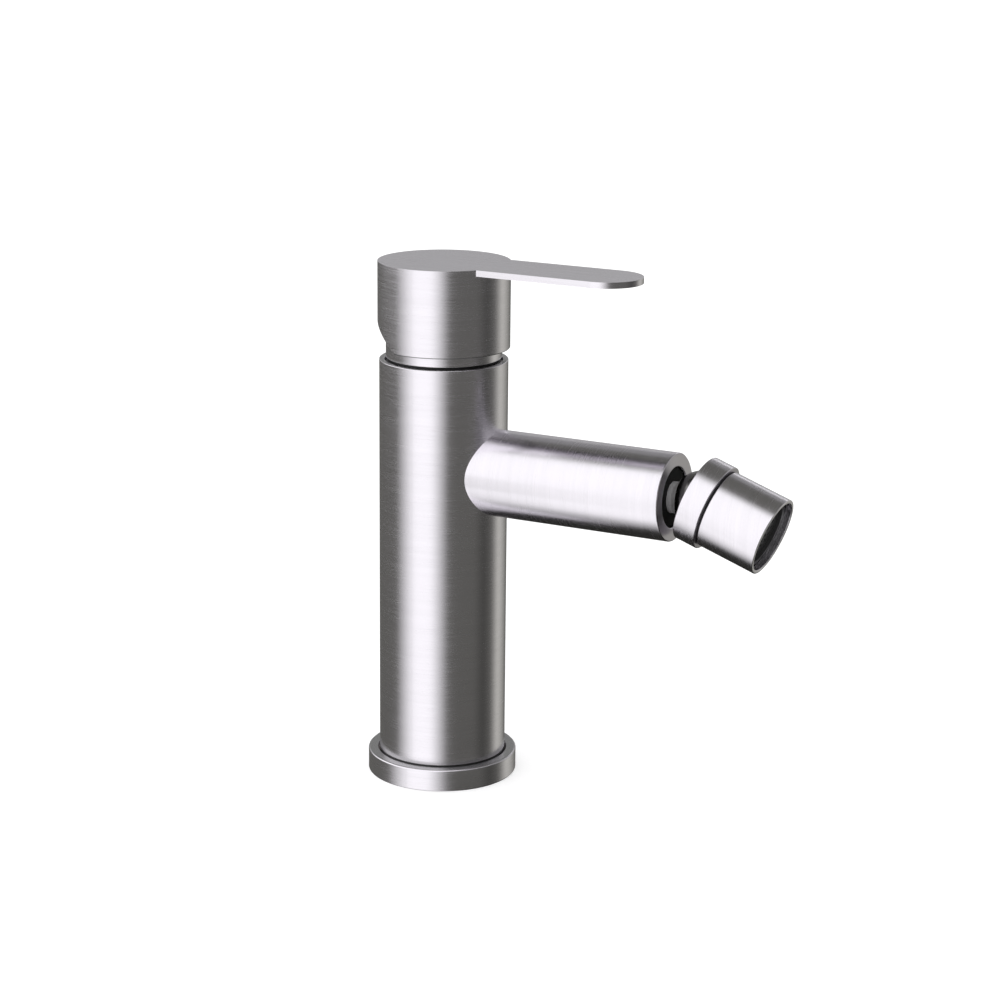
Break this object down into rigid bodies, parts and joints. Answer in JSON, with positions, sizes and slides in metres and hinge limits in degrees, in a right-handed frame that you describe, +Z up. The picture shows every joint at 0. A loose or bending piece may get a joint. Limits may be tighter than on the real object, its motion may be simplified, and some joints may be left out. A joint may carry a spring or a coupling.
{
  "type": "bidet mixer",
  "caption": "Single-lever deck-mounted bidet mixer in satin steel, with a round body, a flat paddle lever, a horizontal spout and a ball-jointed nozzle.",
  "frame": {"origin": "centre of the mixer's round underside, on the deck", "axes": "+Z up along the body tube, -Y along the spout towards the user, +X to the user's right"},
  "size_m": [0.0472, 0.1383, 0.1644],
  "materials": {
    "satin_steel": "satin, brushed round each tube",
    "turned_steel": "turned",
    "brass": "machined",
    "copper_tube": "drawn",
    "black_rubber": "matte",
    "ceramic": "lapped",
    "grey_plastic": "moulded",
    "white_plastic": "moulded"
  },
  "bodies": {
    "mixer_body": {"base_flange": "satin_steel", "flange_gasket": "black_rubber", "mounting_foot": "brass", "hot_inlet_tube": "copper_tube", "cold_inlet_tube": "copper_tube", "body_tube": "satin_steel", "spout_tube": "satin_steel", "spout_seat": "brass", "ball_stem": "turned_steel", "stem_o_ring": "black_rubber", "valve_body": "brass", "valve_o_rings": "black_rubber", "cartridge_seal": "black_rubber", "cartridge_base": "white_plastic", "fixed_disc": "ceramic", "cartridge_housing": "white_plastic", "retaining_nut": "brass", "dome_ring": "satin_steel"},
    "cartridge_rotor": {"rotor": "grey_plastic", "pivot_pin": "turned_steel"},
    "lever": {"handle": "satin_steel", "stem": "brass", "grub_screw": "turned_steel", "screw_plug": "grey_plastic"},
    "sliding_disc": {"moving_disc": "ceramic", "disc_carrier": "grey_plastic"},
    "swivel_ring": {"neck_ring": "grey_plastic"},
    "ball_socket": {"ball_seat": "grey_plastic", "ball_o_ring": "black_rubber"},
    "nozzle": {"nozzle_collar": "satin_steel", "nozzle_sleeve": "satin_steel", "aerator_gasket": "black_rubber", "aerator_housing": "grey_plastic", "aerator_screen": "grey_plastic"}
  },
  "joints": [
    {"name": "temperature_turn", "type": "hinge", "parent": "mixer_body", "child": "cartridge_rotor", "pos_m": [0, 0, 0.1395], "axis": [0, 0, 1], "range_deg": [-45, 45]},
    {"name": "flow_lift", "type": "hinge", "parent": "cartridge_rotor", "child": "lever", "pos_m": [0, 0, 0.1395], "axis": [-1, 0, 0], "range_deg": [0, 25]},
    {"name": "disc_slide", "type": "slide", "parent": "cartridge_rotor", "child": "sliding_disc", "axis": [0, -1, 0], "range_m": [0, 0.00368]},
    {"name": "nozzle_swing", "type": "hinge", "parent": "mixer_body", "child": "swivel_ring", "pos_m": [0, -0.0881, 0.0997], "axis": [0, -1, 0], "continuous": true},
    {"name": "nozzle_tilt", "type": "hinge", "parent": "swivel_ring", "child": "ball_socket", "pos_m": [0, -0.0881, 0.0997], "axis": [-1, 0, 0], "range_deg": [-5.5, 44.5]},
    {"name": "nozzle_turn", "type": "hinge", "parent": "ball_socket", "child": "nozzle", "pos_m": [0, -0.0881, 0.0997], "axis": [0, -0.9426, -0.3338], "continuous": true}
  ],
  "couplings": [
    {"joint": "disc_slide", "follows": "flow_lift", "m_per_rad": 0.008433}
  ]
}
